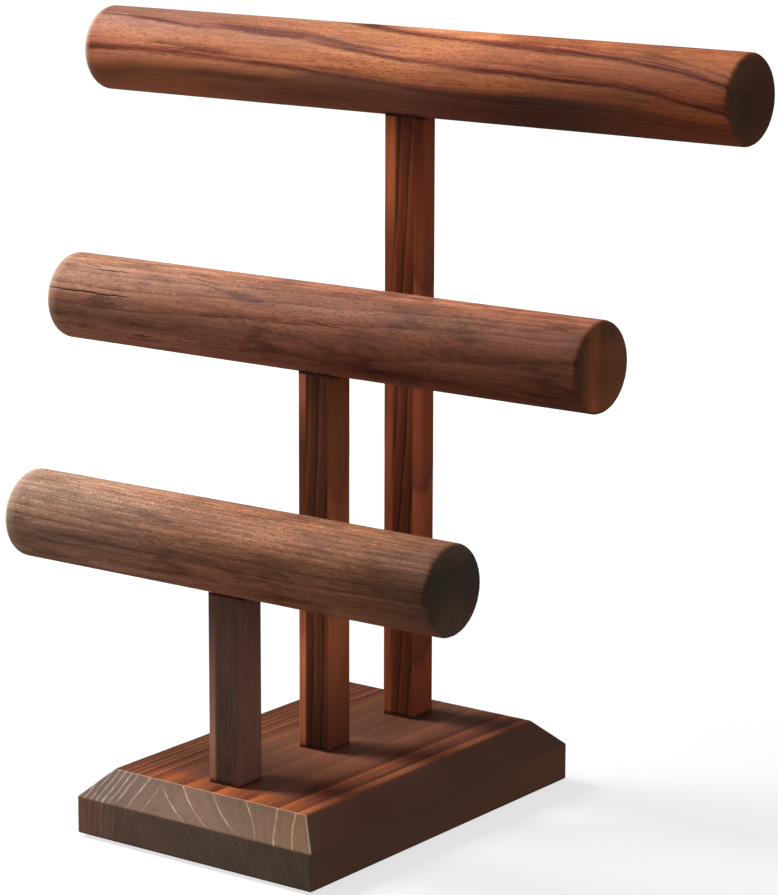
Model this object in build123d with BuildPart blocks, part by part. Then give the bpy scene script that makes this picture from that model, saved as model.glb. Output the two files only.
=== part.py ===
from build123d import *
import os

# Three-tier wooden T-bar jewellery stand.
#
# A bevelled base board carries three square posts in a row from front to rear,
# and each post carries a round bar. The tiers rise and widen towards the rear.
# Each post is held to the board by a countersunk screw from beneath, and each
# bar sits in a cope cut across its post's top, on a blind glued dowel.
#
# Millimetres. The origin is on the table, under the middle of the board.
# +X runs along the bars, +Y from the front tier to the rear tier, +Z is up.

# ---------------------------------------------------------------------------
# Driving dimensions
# ---------------------------------------------------------------------------

# Base board
BOARD_WIDTH = 131.0          # along the bars
BOARD_DEPTH = 195.0          # from front to rear
BOARD_THICKNESS = 29.0
BOARD_BEVEL = 12.0           # 45 degree bevel round the top
BOARD_EDGE_RADIUS = 0.8      # sanded edges

# Felt pads under the corners of the board
PAD_DIAMETER = 14.0
PAD_THICKNESS = 1.5
PAD_MARGIN = 8.0             # from the board's edge to the pad's rim

# Posts
POST_SIDE = 16.5
POST_EDGE_RADIUS = 0.6
FRONT_POST_SETBACK = 31.0    # from the board's front face to the front post's axis
POST_PITCH = 64.0            # from one post's axis to the next

# Bars: heights are from the table to the bar's axis
BAR_DIAMETER = 40.0
BAR_END_BEVEL = 1.8          # sanded arris
FRONT_BAR_LENGTH = 234.0
FRONT_BAR_HEIGHT = 135.0
MIDDLE_BAR_LENGTH = 294.0
MIDDLE_BAR_HEIGHT = 222.5
REAR_BAR_LENGTH = 356.0
REAR_BAR_HEIGHT = 330.5

# Fluted dowel pins between post and bar
DOWEL_DIAMETER = 8.0
DOWEL_LENGTH = 36.0          # half in the bar, half in the post
DOWEL_CHAMFER = 1.0
DOWEL_FLUTES = 8
DOWEL_FLUTE_DEPTH = 0.35
DOWEL_FLUTE_WIDTH = 0.7

# Countersunk wood screws, 4 x 50 mm, with a cross recess
SCREW_LENGTH = 50.0
SCREW_HEAD_DIAMETER = 8.0
SCREW_HEAD_RIM = 0.4         # straight rim above the cone
SCREW_SHANK_DIAMETER = 4.0
SCREW_SHANK_LENGTH = 20.0    # plain shank, measured from the top of the head
SCREW_CORE_DIAMETER = 2.8    # core of the threaded length
SCREW_POINT_LENGTH = 5.0
SCREW_SUNK = 1.0             # head below the board's underside
RECESS_SPAN = 4.6
RECESS_SLOT = 1.1
RECESS_DEPTH = 2.2
RECESS_TAPER = 12.0          # degrees

# Clearances
GLUE_GAP = 0.05              # all round a dowel, and between bar and cope
HOLE_END_ROOM = 1.0          # past the end of a dowel or a screw
SHANK_CLEARANCE = 0.25       # round the screw's shank in the board
HEAD_CLEARANCE = 0.1         # round the screw's head
PILOT_CLEARANCE = 0.05       # round the screw's core in the post

# ---------------------------------------------------------------------------
# Worked-out values
# ---------------------------------------------------------------------------

BOARD_BOTTOM = PAD_THICKNESS
BOARD_TOP = BOARD_BOTTOM + BOARD_THICKNESS
FRONT_POST_Y = FRONT_POST_SETBACK - BOARD_DEPTH / 2
BAR_RADIUS = BAR_DIAMETER / 2
COPE_RADIUS = BAR_RADIUS + GLUE_GAP
DOWEL_REACH = DOWEL_LENGTH / 2
DOWEL_HOLE_RADIUS = DOWEL_DIAMETER / 2 + GLUE_GAP
DOWEL_HOLE_DEPTH = DOWEL_REACH + HOLE_END_ROOM
HEAD_TOP = BOARD_BOTTOM + SCREW_SUNK
HEAD_CONE = (SCREW_HEAD_DIAMETER - SCREW_SHANK_DIAMETER) / 2
COUNTERSINK_RADIUS = SCREW_HEAD_DIAMETER / 2 + SCREW_HEAD_RIM + SCREW_SUNK + HEAD_CLEARANCE
PILOT_RADIUS = SCREW_CORE_DIAMETER / 2 + PILOT_CLEARANCE
PILOT_TOP = HEAD_TOP + SCREW_LENGTH + HOLE_END_ROOM

# Tier name, post axis, bar axis height and bar length, from front to rear
TIERS = [
    ("front", FRONT_POST_Y, FRONT_BAR_HEIGHT, FRONT_BAR_LENGTH),
    ("middle", FRONT_POST_Y + POST_PITCH, MIDDLE_BAR_HEIGHT, MIDDLE_BAR_LENGTH),
    ("rear", FRONT_POST_Y + 2 * POST_PITCH, REAR_BAR_HEIGHT, REAR_BAR_LENGTH),
]

os.makedirs("parts", exist_ok=True)


def write_piece(piece, name):
    """Label a finished piece and write it under its own name."""
    piece.label = name
    export_step(piece, f"parts/{name}.step")
    print(f"{name:24s} {piece.volume / 1000:9.2f} cm3")


# ---------------------------------------------------------------------------
# Base board: one thick plank, bevelled round the top and sanded on every edge
# ---------------------------------------------------------------------------

with BuildPart() as base_board:
    with BuildSketch(Plane.XY.offset(BOARD_BOTTOM)):
        Rectangle(BOARD_WIDTH, BOARD_DEPTH)
    extrude(amount=BOARD_THICKNESS)
    chamfer(base_board.faces().sort_by(Axis.Z)[-1].edges(), length=BOARD_BEVEL)
    fillet(base_board.edges(), radius=BOARD_EDGE_RADIUS)
    # A screw hole under each post, countersunk deep enough to bury the head
    for _, post_y, _, _ in TIERS:
        with Locations(Plane(origin=(0, post_y, BOARD_BOTTOM), z_dir=(0, 0, -1))):
            CounterSinkHole(
                radius=SCREW_SHANK_DIAMETER / 2 + SHANK_CLEARANCE,
                counter_sink_radius=COUNTERSINK_RADIUS,
                counter_sink_angle=90,
            )
write_piece(base_board.part, "base_board")

# ---------------------------------------------------------------------------
# Felt pads: one stuck under each corner of the board
# ---------------------------------------------------------------------------

PAD_X = BOARD_WIDTH / 2 - PAD_MARGIN - PAD_DIAMETER / 2
PAD_Y = BOARD_DEPTH / 2 - PAD_MARGIN - PAD_DIAMETER / 2

for name, x, y in [
    ("front_left_pad", -PAD_X, -PAD_Y),
    ("front_right_pad", PAD_X, -PAD_Y),
    ("rear_left_pad", -PAD_X, PAD_Y),
    ("rear_right_pad", PAD_X, PAD_Y),
]:
    with BuildPart() as felt_pad:
        with BuildSketch():
            with Locations((x, y)):
                Circle(PAD_DIAMETER / 2)
        extrude(amount=PAD_THICKNESS)
    write_piece(felt_pad.part, name)

# ---------------------------------------------------------------------------
# The pieces of each tier
# ---------------------------------------------------------------------------

for tier, post_y, bar_height, bar_length in TIERS:
    post_axis = Plane(origin=(0, post_y, 0))
    bar_bottom = bar_height - BAR_RADIUS
    bar_plane = Plane(origin=(0, post_y, bar_height), x_dir=(0, 1, 0), z_dir=(1, 0, 0))

    # Post: square, its top coped to the bar, bored for the dowel and the screw
    with BuildPart() as post:
        with BuildSketch(post_axis.offset(BOARD_TOP)):
            RectangleRounded(POST_SIDE, POST_SIDE, POST_EDGE_RADIUS)
        extrude(amount=bar_height - BOARD_TOP)
        with BuildSketch(bar_plane):
            Circle(COPE_RADIUS)
        extrude(amount=POST_SIDE, both=True, mode=Mode.SUBTRACT)
        with BuildSketch(post_axis.offset(bar_bottom - DOWEL_HOLE_DEPTH)):
            Circle(DOWEL_HOLE_RADIUS)
        extrude(amount=DOWEL_HOLE_DEPTH + BAR_RADIUS, mode=Mode.SUBTRACT)
        with BuildSketch(post_axis.offset(BOARD_TOP)):
            Circle(PILOT_RADIUS)
        extrude(amount=PILOT_TOP - BOARD_TOP, mode=Mode.SUBTRACT)
    write_piece(post.part, f"{tier}_post")

    # Bar: round, sawn square and sanded at the ends, with a blind dowel hole
    with BuildPart() as bar:
        with BuildSketch(bar_plane):
            Circle(BAR_RADIUS)
        extrude(amount=bar_length / 2, both=True)
        chamfer(bar.edges().filter_by(GeomType.CIRCLE), length=BAR_END_BEVEL)
        with BuildSketch(post_axis.offset(bar_bottom - GLUE_GAP)):
            Circle(DOWEL_HOLE_RADIUS)
        extrude(amount=DOWEL_HOLE_DEPTH + GLUE_GAP, mode=Mode.SUBTRACT)
    write_piece(bar.part, f"{tier}_bar")

    # Dowel: a round pin with chamfered ends and glue flutes round its side
    with BuildPart() as dowel:
        dowel_foot = post_axis.offset(bar_bottom - DOWEL_REACH)
        with BuildSketch(dowel_foot):
            Circle(DOWEL_DIAMETER / 2)
        extrude(amount=DOWEL_LENGTH)
        chamfer(dowel.edges().filter_by(GeomType.CIRCLE), length=DOWEL_CHAMFER)
        with BuildSketch(dowel_foot):
            with PolarLocations(DOWEL_DIAMETER / 2, DOWEL_FLUTES):
                Rectangle(2 * DOWEL_FLUTE_DEPTH, DOWEL_FLUTE_WIDTH)
        extrude(amount=DOWEL_LENGTH, mode=Mode.SUBTRACT)
    write_piece(dowel.part, f"{tier}_dowel")

    # Screw: countersunk head, plain shank, threaded length drawn at its core,
    # and a point. Its outline is turned about the post's axis, head downwards.
    # The cross recess is two tapered slots.
    with BuildPart() as screw:
        head = SCREW_HEAD_DIAMETER / 2
        shank = SCREW_SHANK_DIAMETER / 2
        core = SCREW_CORE_DIAMETER / 2
        cone_end = SCREW_HEAD_RIM + HEAD_CONE
        with BuildSketch(Plane(origin=(0, post_y, HEAD_TOP), x_dir=(1, 0, 0), z_dir=(0, -1, 0))):
            with BuildLine():
                Polyline(
                    (0, 0),
                    (head, 0),
                    (head, SCREW_HEAD_RIM),
                    (shank, cone_end),
                    (shank, SCREW_SHANK_LENGTH),
                    (core, SCREW_SHANK_LENGTH + shank - core),
                    (core, SCREW_LENGTH - SCREW_POINT_LENGTH),
                    (0, SCREW_LENGTH),
                    close=True,
                )
            make_face()
        revolve(axis=Axis((0, post_y, 0), (0, 0, 1)))
        for span_x, span_y in [(RECESS_SPAN, RECESS_SLOT), (RECESS_SLOT, RECESS_SPAN)]:
            with BuildSketch(post_axis.offset(HEAD_TOP)):
                Rectangle(span_x, span_y)
            extrude(amount=RECESS_DEPTH, taper=RECESS_TAPER, mode=Mode.SUBTRACT)
    write_piece(screw.part, f"{tier}_screw")
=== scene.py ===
# %% [markdown]
# # A three-tier wooden stand
# A bevelled board carries three square posts, and each post carries a round bar.
# All seven pieces are sawn from one dark, fast-grown softwood and oiled, so the grain does the
# decorating. Each piece gets a fine mesh of its own and a wood that is solid all the way through:
# its growth rings are a formula in space, so a ring met on a face carries on round the arris.
# The frame is loaded first, because every size and place below is read from it.

# %% Load the frame
import math
from collections import namedtuple

import bmesh
import bpy
import numpy as np
from mathutils import Matrix, Vector


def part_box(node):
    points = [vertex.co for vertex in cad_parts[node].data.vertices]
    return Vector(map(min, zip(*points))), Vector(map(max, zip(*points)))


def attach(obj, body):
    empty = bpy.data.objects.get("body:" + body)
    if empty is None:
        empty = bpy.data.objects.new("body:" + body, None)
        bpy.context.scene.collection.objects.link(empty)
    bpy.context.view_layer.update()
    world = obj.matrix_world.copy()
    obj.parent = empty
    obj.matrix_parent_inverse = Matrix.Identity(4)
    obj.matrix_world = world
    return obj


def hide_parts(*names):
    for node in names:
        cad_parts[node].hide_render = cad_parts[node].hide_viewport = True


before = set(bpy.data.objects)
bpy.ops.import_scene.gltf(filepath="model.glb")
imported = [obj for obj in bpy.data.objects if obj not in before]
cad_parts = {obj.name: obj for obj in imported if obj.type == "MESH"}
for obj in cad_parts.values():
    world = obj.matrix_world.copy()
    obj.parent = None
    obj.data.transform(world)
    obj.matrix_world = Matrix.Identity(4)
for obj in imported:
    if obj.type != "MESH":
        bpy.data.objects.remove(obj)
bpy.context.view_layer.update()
MM = 0.001
TIERS = ("front", "middle", "rear")

# %% [markdown]
# ## Where each tier stands
# A bar's box gives its length, its diameter and its axis, and a post's box gives its side.
# Everything is kept in millimetres until a mesh is made, as a joiner would work.

# %% Read the tiers
Tier = namedtuple("Tier", "name y bar_z bar_radius bar_length post_side")


def read_tier(name):
    """Measure one tier on its CAD pieces, in millimetres."""
    bar_low, bar_high = (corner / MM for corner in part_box(f"{name}_bar"))
    post_low, post_high = (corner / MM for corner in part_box(f"{name}_post"))
    middle = (bar_low + bar_high) / 2
    radius = (bar_high.z - bar_low.z) / 2
    return Tier(name, middle.y, middle.z, radius, bar_high.x - bar_low.x, post_high.x - post_low.x)


tiers = [read_tier(name) for name in TIERS]
board_low, board_high = (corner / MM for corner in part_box("base_board"))
for tier in tiers:
    print(tier.name, [round(value, 1) for value in tier[1:]])

# %% [markdown]
# ## The camera
# The picture was taken from the front right, a little above the middle, with a long lens.
# The lens, distance and turn were worked out from the stand's edges, so the camera is set by
# numbers: a point to look at, how far away it stands, and its azimuth, pitch and roll.

# %% Set the camera
IMAGE_HEIGHT = 895               # pixels, the long side of a 778 x 895 picture
FOCAL_PIXELS = 3421.8
SENSOR = 36.0
LOOK_AT = Vector((33.99, 0.0, 172.97)) * MM
DISTANCE = 1503.6 * MM
AZIMUTH = math.radians(36.37)
PITCH = math.radians(12.53)
ROLL = math.radians(0.163)

camera_data = bpy.data.cameras.new("camera")
camera_data.sensor_width = SENSOR
camera_data.lens = FOCAL_PIXELS * SENSOR / IMAGE_HEIGHT
camera = bpy.data.objects.new("camera", camera_data)
bpy.context.scene.collection.objects.link(camera)
bpy.context.scene.camera = camera
back = Vector((
    math.sin(AZIMUTH) * math.cos(PITCH),
    -math.cos(AZIMUTH) * math.cos(PITCH),
    math.sin(PITCH),
))
camera.rotation_mode = "QUATERNION"
tilt = Matrix.Rotation(ROLL, 3, "Z").to_quaternion()
camera.rotation_quaternion = (-back).to_track_quat("-Z", "Y") @ tilt
camera.location = LOOK_AT + back * DISTANCE
print("lens", round(camera_data.lens, 2), "mm")

# %% [markdown]
# ## Arithmetic on a surface
# A procedural wood is a long sum, and drawing it node by node hides what it says. A small class
# holds one socket of a node tree and answers to + - * /, so a growth ring can be written as the
# formula it is. The helpers below it take either such a socket or a numpy array: the same ring
# formula then colours the surface and shapes the mesh, and the two can't drift apart. bearing is
# the angle of a point about an axis in radians, and exceeds is 1 where it is true and else 0.

# %% A socket with arithmetic
class Shade:
    """One socket of a node tree, or the bare tree when the socket is None."""

    def __init__(self, tree, socket=None):
        self.tree = tree
        self.socket = socket

    def node(self, kind, settings=None, inputs=None, output=0):
        """Add a node, set its settings, then its inputs, and return one of its outputs."""
        made = self.tree.nodes.new("ShaderNode" + kind)
        for name, value in (settings or {}).items():
            if name == "stops":
                fill_ramp(made.color_ramp, value)
            else:
                setattr(made, name, value)
        for name, value in (inputs or {}).items():
            if isinstance(value, Shade):
                self.tree.links.new(value.socket, made.inputs[name])
            else:
                made.inputs[name].default_value = value
        return Shade(self.tree, made.outputs[output] if made.outputs else None)

    def math(self, operation, *others):
        values = (self, *others)
        return self.node("Math", {"operation": operation}, dict(enumerate(values)))

    def __add__(self, other):
        return self.math("ADD", other)

    def __mul__(self, other):
        return self.math("MULTIPLY", other)

    def __sub__(self, other):
        return self.math("SUBTRACT", other)

    def __truediv__(self, other):
        return self.math("DIVIDE", other)

    def __rsub__(self, other):
        return self.node("Math", {"operation": "SUBTRACT"}, {0: other, 1: self})

    def __neg__(self):
        return self * -1.0

    __radd__ = __add__
    __rmul__ = __mul__


def fill_ramp(ramp, stops):
    """Give a colour ramp its stops: pairs of a position and a colour."""
    while len(ramp.elements) < len(stops):
        ramp.elements.new(1.0)
    for element, (position, colour) in zip(ramp.elements, stops):
        element.position = position
        element.color = colour

# %% Sums on sockets and on numbers
def either(operation, on_numbers):
    """A function that adds a math node to a socket, and otherwise works on numbers."""
    def work(value, *others):
        if isinstance(value, Shade):
            return value.math(operation, *others)
        return on_numbers(value, *others)

    return work


sine = either("SINE", np.sin)
size = either("ABSOLUTE", np.abs)
root = either("SQRT", np.sqrt)
larger = either("MAXIMUM", np.maximum)
smaller = either("MINIMUM", np.minimum)
fraction = either("FRACT", lambda value: value - np.floor(value))
bearing = either("ARCTAN2", np.arctan2)
exceeds = either("GREATER_THAN", lambda value, other: (value > other) * 1.0)


def span(value, low, high):
    """0 at low, 1 at high, and a straight line between them."""
    return smaller(larger((value - low) / (high - low), 0.0), 1.0)


def ladder(value, rungs):
    """A level given at some places, as pairs, and straight between them."""
    level = rungs[0][1]
    for (low, before), (high, after) in zip(rungs, rungs[1:]):
        level = span(value, low, high) * (after - before) + level
    return level


def srgb(red, green, blue):
    """A colour as a paint chart gives it, 0 to 255, as the linear colour that a shader takes."""
    shares = [part / 255 for part in (red, green, blue)]
    linear = [((share + 0.055) / 1.055) ** 2.4 if share > 0.04 else share / 12.92 for share in shares]
    return (*linear, 1.0)


# %% [markdown]
# ## How the wood grew
# A trunk is a stack of cones about its pith. Sawn into a bar, the pith is a line that leans and
# bends through the piece or beside it, and the ring number at a point is its distance from that
# line. Real rings also wander, which a few slow sines along the grain give. Each piece below
# names its own pith, so no two pieces share a figure, and the lines fall where they do on the
# real bar.

# %% Growth rings
# The pith's place at the middle of the piece, how far it leans and bends for each 100 mm, the
# first dark line's distance from it, the lines' spacing, and how much they wander, all in mm
Tree = namedtuple("Tree", "pith lean bend first spacing wander phase nudges", defaults=((),))


def tree_rings(tree, along, across, up):
    """The ring number, whole at each dark line, and the distance to the nearest line in mm."""
    metre = along / 100.0
    pith_across = tree.pith[0] + metre * tree.lean[0] + metre * metre * tree.bend[0]
    pith_up = tree.pith[1] + metre * tree.lean[1] + metre * metre * tree.bend[1]
    from_across = across - pith_across
    from_up = up - pith_up
    reach = root(from_across * from_across + from_up * from_up)
    reach = reach + wander(along, across, up, tree.phase) * tree.wander
    if tree.nudges:
        reach = reach - ladder(along, tree.nudges)
    rings = (reach - tree.first) / tree.spacing
    part = fraction(rings)
    return rings, smaller(part, 1.0 - part) * tree.spacing


def wander(along, across, up, phase):
    """A slow drift of the grain, within about one millimetre either way."""
    slow = sine(along * 0.021 + across * 0.07 + phase)
    middle = sine(along * 0.055 - up * 0.11 + phase * 2.3)
    quick = sine(along * 0.13 + across * 0.23 + up * 0.17 + phase * 4.1)
    return slow * 0.5 + middle * 0.3 + quick * 0.12


# How much further out the rear bar's rings lie at some places along it, in mm
REAR_NUDGES = ((-178, 1.1), (-143, 0.3), (-111, 0.1), (-47, -0.6), (-14, -0.15), (12, 0.3),
               (40, 0.4), (65, 0.2), (101, 0), (120, 0), (157, 0.9), (178, 1.6))
REAR_BAR_TREE = Tree((-0.1, 6.5), (-1.8, 0.76), (0.0, -0.42), 10.0, 4.0, 0.35, 0.4, REAR_NUDGES)
MIDDLE_BAR_TREE = Tree((26.0, 14.0), (3.0, -3.0), (0.5, 0.8), 0.3, 4.6, 0.9, 2.1)
FRONT_BAR_TREE = Tree((30.0, 30.0), (-2.0, 3.0), (0.6, 0.4), 0.2, 2.6, 0.7, 3.7)
POST_TREES = {
    "front": Tree((-40, 0), (0.6, 0), (0, 0), 8.8, 9, 0.3, 1),
    "middle": Tree((-41.2, 0), (2, 1), (0.6, 0), 2.2, 5.8, 0.9, 2.6),
    "rear": Tree((-49.2, 0), (6.8, 1), (0, 0), 1.9, 5.7, 0.9, 4.4),
}

# %% [markdown]
# ## The figure of the board
# The board was sawn beside a wavy heart. On its front bevel the rings stand like a tent: close
# together and steep on the left, far apart and shallow on the right. One pith can't give that, so
# the board has two families of rings, each a list of the places where its dark lines come out on
# the top, with a rule for how they shift sideways further down.

# %% The board's rings
LEFT_LINES = (-23.9, -32.5, -39.5, -43, -46.6, -50.1, -53.4, -56.8, -60.4, -64, -68)
RIGHT_LINES = (-26.6, -13.9, 2.7, 21.1, 38.2, 48.3, 72)
BEVEL = 12.0                     # mm wide and deep, and under it the rings turn nearly upright


def lean_left(depth):
    """How far the left family has shifted to the left, this deep under the top."""
    return smaller(depth, BEVEL) * 0.38 + larger(depth - BEVEL, 0.0) * 0.07


def lean_right(depth, across):
    """The same to the right. The rings get steeper towards the right edge."""
    shallow = 1.75 - span(across, 26.0, 42.0) * 1.2
    bent = smaller(depth, BEVEL)
    return bent * (0.65 + bent * 0.037) * shallow + larger(depth - BEVEL, 0.0) * 0.6


def count_lines(place, lines):
    """How many of these lines have been passed, with the fraction on the way to the next."""
    passed = 0.0
    for line, following in zip(lines, lines[1:]):
        passed = span(place, line, following) + passed
    return passed


def nearest_line(place, lines):
    """The distance to the nearest of these lines."""
    gap = size(place - lines[0])
    for line in lines[1:]:
        gap = smaller(gap, size(place - line))
    return gap


def board_families(along, across, up):
    """Where a point lies in the left family and in the right one, carried up to the top."""
    depth = larger(-up, 0.0)
    drift = wander(along, across, up, 5.2) * (0.15 + span(along, -80.0, 0.0) * 0.8)
    drift = drift + sine(up * 0.62 + across * 0.35) * 0.16 + sine(up * 1.5 - across * 0.21) * 0.10
    return across + drift + lean_left(depth), across + drift - lean_right(depth, across)


def board_rings(along, across, up):
    """The ring number, and the distance to the nearest dark line in millimetres."""
    left, right = board_families(along, across, up)
    left_rings = count_lines(-left, [-line for line in LEFT_LINES])
    right_rings = count_lines(right, RIGHT_LINES)
    on_left = exceeds(left_rings, right_rings)
    right_gap = nearest_line(right, RIGHT_LINES)
    gap = right_gap + (nearest_line(left, LEFT_LINES) - right_gap) * on_left
    return larger(left_rings, right_rings), gap


# %% [markdown]
# ## Meshes from loops
# A turned bar, a post with a coped top and a felt disc are all the same idea: a stack of closed
# loops with the same number of points, skinned one to the next and closed by a point at each
# end. A lathe modifier could make the bar, but loops also take a square post into a round hole,
# and they leave the mesh evenly fine, which the relief of the grain needs.

# %% Skin a stack of loops
def new_piece(name, points, faces):
    """Make a mesh object from points in millimetres."""
    mesh = bpy.data.meshes.new(name)
    mesh.from_pydata((np.asarray(points) * MM).tolist(), [], faces)
    mesh.validate()
    piece = bpy.data.objects.new(name, mesh)
    bpy.context.scene.collection.objects.link(piece)
    return piece


def skin(name, loops):
    """Join loops of equal length into one closed surface, with a point at each end."""
    count = len(loops[0])
    first, last = np.mean(loops[0], axis=0), np.mean(loops[-1], axis=0)
    points = np.vstack([*loops, first, last])
    faces = []
    for row in range(len(loops) - 1):
        for step in range(count):
            after = (step + 1) % count
            here, above = row * count, (row + 1) * count
            faces.append((here + step, here + after, above + after, above + step))
    start, end, top = len(points) - 2, len(points) - 1, (len(loops) - 1) * count
    for step in range(count):
        after = (step + 1) % count
        faces.append((start, after, step))
        faces.append((end, top + step, top + after))
    return new_piece(name, points, faces)


def full_turn(count):
    """Angles evenly round a circle."""
    return np.linspace(0, 2 * math.pi, count, endpoint=False)


def hoop(centre, radius, height, count):
    """Points round an upright axis. The radius may be one value, or one for each point."""
    turns = full_turn(count)
    return np.column_stack([
        centre[0] + radius * np.cos(turns), centre[1] + radius * np.sin(turns), np.full(count, height)])


def read_points(piece):
    """A mesh's points and normals as arrays, the points in millimetres."""
    count = len(piece.data.vertices)
    points, normals = np.empty(count * 3), np.empty(count * 3)
    piece.data.vertices.foreach_get("co", points)
    piece.data.vertex_normals.foreach_get("vector", normals)
    return points.reshape(-1, 3) / MM, normals.reshape(-1, 3)


def write_points(piece, points):
    piece.data.vertices.foreach_set("co", (points * MM).ravel())
    piece.data.update()


def finish_piece(piece, material):
    """Shade a piece smoothly and give it one material."""
    piece.data.shade_smooth()
    piece.data.materials.clear()
    piece.data.materials.append(material)
    print(piece.name, len(piece.data.polygons), "faces")


# %% [markdown]
# ## Relief in the grain
# Sanding takes the soft early wood down more than the hard late wood, so an oiled piece has a
# faint relief that follows its rings. Each point of a fine mesh is pushed in along its normal by
# a hair where the ring is soft. It is real geometry, not only bump.

# %% Press the rings into a mesh
RELIEF = 0.05                    # mm between hard and soft wood


def press_relief(piece, grain, rings, cracks=()):
    """Push a piece's points in where the wood is soft or has checked."""
    points, normals = read_points(piece)
    along, across, up = grain(*points.T)
    part = fraction(rings(along, across, up)[0])
    depth = (1.0 - part ** 3) * RELIEF
    for crack in cracks:
        depth = depth + crack_depth(crack, along, across, up) * crack.depth
    write_points(piece, points - normals * depth[:, None])


# %% [markdown]
# ## Checks in a bar
# A bar turned from wood near the pith opens in a few short cracks along the grain as it dries.
# They are listed by where they start and end, so both the mesh and the colour can find them: a
# crack is a narrow groove that tapers to nothing at both ends and wavers a little on the way.

# %% Cracks
Crack = namedtuple("Crack", "start end angle drift width depth")
BAR_RADIUS = round(tiers[0].bar_radius, 2)       # mm, the same for all three bars


def crack_depth(crack, along, across, up):
    """1 in the middle of a crack, 0 on sound wood. Angles are in degrees about the bar."""
    part = (along - crack.start) / (crack.end - crack.start)
    taper = larger(part * (1.0 - part), 0.0) * 4.0
    waver = sine(along * 0.9 + crack.angle) * 0.10 + sine(along * 0.31 + crack.angle) * 0.2
    arc = bearing(up, -across) * BAR_RADIUS
    centre = math.radians(180.0 - crack.angle) * BAR_RADIUS
    aside = size(arc - (centre - (along - crack.start) * crack.drift) + waver)
    half = root(taper) * crack.width / 2 + 0.001
    return larger(1.0 - aside / half, 0.0)


MIDDLE_BAR_CRACKS = [
    Crack(-146, -96, 162.1, 0, 0.9, 0.5),
    Crack(-124, -102, 126, 0.015, 0.8, 0.4),
    Crack(-130, -120, 120.5, 0.02, 0.6, 0.3),
    Crack(-70, -52, 119, 0.12, 0.6, 0.35),
    Crack(-60, -44, 129, 0.12, 0.5, 0.3),
    Crack(3, 24, 160, 0.06, 0.6, 0.25),
    Crack(-97, -85, 213.5, 0, 0.6, 0.25),
]

# %% [markdown]
# ## Starting a material
# Every finish here begins the same way: an empty tree, and the point being shaded in
# millimetres. Noise is then stretched along the grain, because everything in wood is long and
# thin. A colour is made lighter or darker by scaling it, and two colours are mixed by a mask.

# %% Helpers for finishes
def new_material(name):
    """An empty procedural material and its bare tree."""
    material = bpy.data.materials.new(name)
    material.use_nodes = True
    material.node_tree.nodes.clear()
    return material, Shade(material.node_tree)


def millimetres(start):
    """The place on the object as three sockets, in millimetres."""
    place = start.node("TexCoord", output="Object")
    return [start.node("SeparateXYZ", None, {0: place}, output=axis) * (1.0 / MM) for axis in "XYZ"]


def noise(x, y, z=0.0, detail=2.0):
    """Soft noise, about 0 to 1, with a feature about one unit across."""
    spot = x.node("CombineXYZ", None, {"X": x, "Y": y, "Z": z})
    return x.node("TexNoise", None, {"Vector": spot, "Scale": 1.0, "Detail": detail, "Roughness": 0.6})


def stretched(spot, length, width, detail=2.0, shift=0.0):
    """Noise that lies along the grain, its features this long and this wide in millimetres."""
    along, across, up = spot
    return noise(along / length + shift, across / width, up / width, detail)

# %% Helpers for colours
def scaled(colour, level):
    """A colour made lighter or darker."""
    return colour.node("VectorMath", {"operation": "SCALE"}, {0: colour, "Scale": level})


def varied(colour, pattern, amount):
    """A colour made lighter and darker by a noise, this much from its low to its high."""
    return scaled(colour, 1.0 + (pattern - 0.5) * amount)


def mixed(mask, under, over):
    """Two colours, mixed by a mask or by one plain share."""
    maker = next(value for value in (mask, under, over) if isinstance(value, Shade))
    return maker.node("Mix", {"data_type": "RGBA"}, {"Factor": mask, 6: under, 7: over}, output=2)


def toned(value, colour, *rungs):
    """Multiply a colour by a tint that blends between rungs, each a place and red, green, blue."""
    tint = (*rungs[0][1:], 1.0)
    for (low, *_), (high, *after) in zip(rungs, rungs[1:]):
        tint = mixed(span(value, low, high), tint, (*after, 1.0))
    return value.node("Mix", {"data_type": "RGBA", "blend_type": "MULTIPLY"}, {
        "Factor": 1.0, 6: colour, 7: tint}, output=2)


def tinted(mask, colour, tint):
    """Multiply a colour by a tint where the mask is 1."""
    return toned(mask, colour, (0, 1, 1, 1), (1, *tint))


def bumped(height, strength, distance):
    """A normal that follows a height, which is this many metres at 1."""
    return height.node("Bump", None, {"Strength": strength, "Distance": distance, "Height": height})


def finish_material(start, **sockets):
    """Close a tree with one Principled shader."""
    names = {key.replace("_", " "): value for key, value in sockets.items()}
    shader = start.node("BsdfPrincipled", None, names)
    start.node("OutputMaterial", None, {"Surface": shader})


# %% [markdown]
# ## The wood itself
# Up close the wood is several things at once. The rings go from tan early wood through orange to
# purple-brown late wood, with a few fine lines crowded above each sharp dark one. Over them lie
# the fibres, streaks a finger long and a hair wide, and open pores, short dark dashes. In some
# patches small bright specks are painted glints, where cut fibres catch the light. Where a saw has
# crossed the grain, oil soaks in and the same wood turns grey-brown, with its rings drawn in pale
# lines. One function builds all of it from a few colours, and the surface's normal picks side or
# end grain.

# %% Side grain and end grain
Palette = namedtuple("Palette", "early warm late line end end_line")
# How strongly each trait of the wood shows
Figure = namedtuple("Figure", "ragged stacked fibre patch grit pores mark smudge rims")
# What one piece adds to its wood: tones on its sides and ends, and masks for three traits:
# pale rims, where painted glints show, and a painted highlight on an arris
Touch = namedtuple("Touch", "side end rims lit worn", defaults=(None, None, None, None, None))


def painted(*colours):
    """A palette from colours as a paint chart gives them."""
    return Palette(*[srgb(*colour) for colour in colours])


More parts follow.
